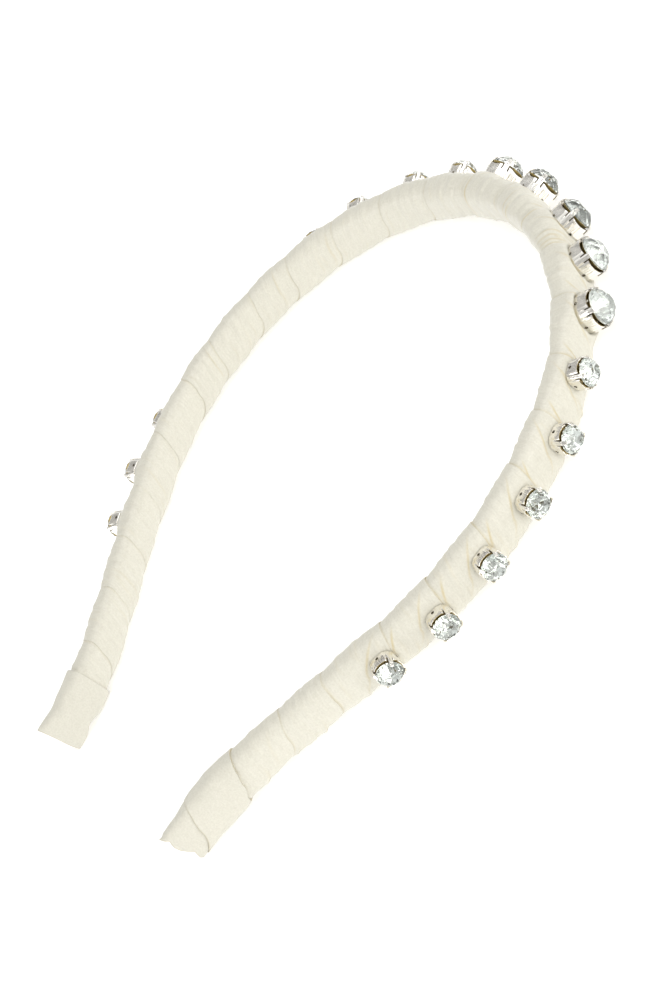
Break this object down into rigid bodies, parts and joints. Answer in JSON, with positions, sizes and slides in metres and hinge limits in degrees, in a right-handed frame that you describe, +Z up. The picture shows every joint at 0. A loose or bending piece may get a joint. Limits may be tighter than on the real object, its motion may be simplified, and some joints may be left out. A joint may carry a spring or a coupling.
{
  "type": "crystal headband",
  "caption": "Padded hair band wound with ivory satin ribbon, with a row of round foil-backed crystals in silver claw cups along its outer face.",
  "frame": {"origin": "centre of the outline, on the surface that the headband lies on", "axes": "+Y from the tips to the crown of the band, +X towards the tip nearest the large stones, +Z up, along the width of the band"},
  "size_m": [0.1348, 0.157, 0.0116],
  "materials": {
    "ivory_satin": "ivory satin ribbon with a soft sheen and a fine slanting weave",
    "silver_cup": "bright silver plate on thin stamped sheet",
    "clear_crystal": "clear cut glass, silver foil on the pavilion"
  },
  "bodies": {
    "root": {"satin_band": "ivory_satin", "claw_cup_01": "silver_cup", "claw_cup_02": "silver_cup", "claw_cup_03": "silver_cup", "claw_cup_04": "silver_cup", "claw_cup_05": "silver_cup", "claw_cup_06": "silver_cup", "claw_cup_07": "silver_cup", "claw_cup_08": "silver_cup", "claw_cup_09": "silver_cup", "claw_cup_10": "silver_cup", "claw_cup_11": "silver_cup", "claw_cup_12": "silver_cup", "claw_cup_13": "silver_cup", "claw_cup_14": "silver_cup", "claw_cup_15": "silver_cup", "claw_cup_16": "silver_cup", "claw_cup_17": "silver_cup", "claw_cup_18": "silver_cup", "claw_cup_19": "silver_cup", "claw_cup_20": "silver_cup", "claw_cup_21": "silver_cup", "crystal_01": "clear_crystal", "crystal_02": "clear_crystal", "crystal_03": "clear_crystal", "crystal_04": "clear_crystal", "crystal_05": "clear_crystal", "crystal_06": "clear_crystal", "crystal_07": "clear_crystal", "crystal_08": "clear_crystal", "crystal_09": "clear_crystal", "crystal_10": "clear_crystal", "crystal_11": "clear_crystal", "crystal_12": "clear_crystal", "crystal_13": "clear_crystal", "crystal_14": "clear_crystal", "crystal_15": "clear_crystal", "crystal_16": "clear_crystal", "crystal_17": "clear_crystal", "crystal_18": "clear_crystal", "crystal_19": "clear_crystal", "crystal_20": "clear_crystal", "crystal_21": "clear_crystal"}
  },
  "joints": []
}
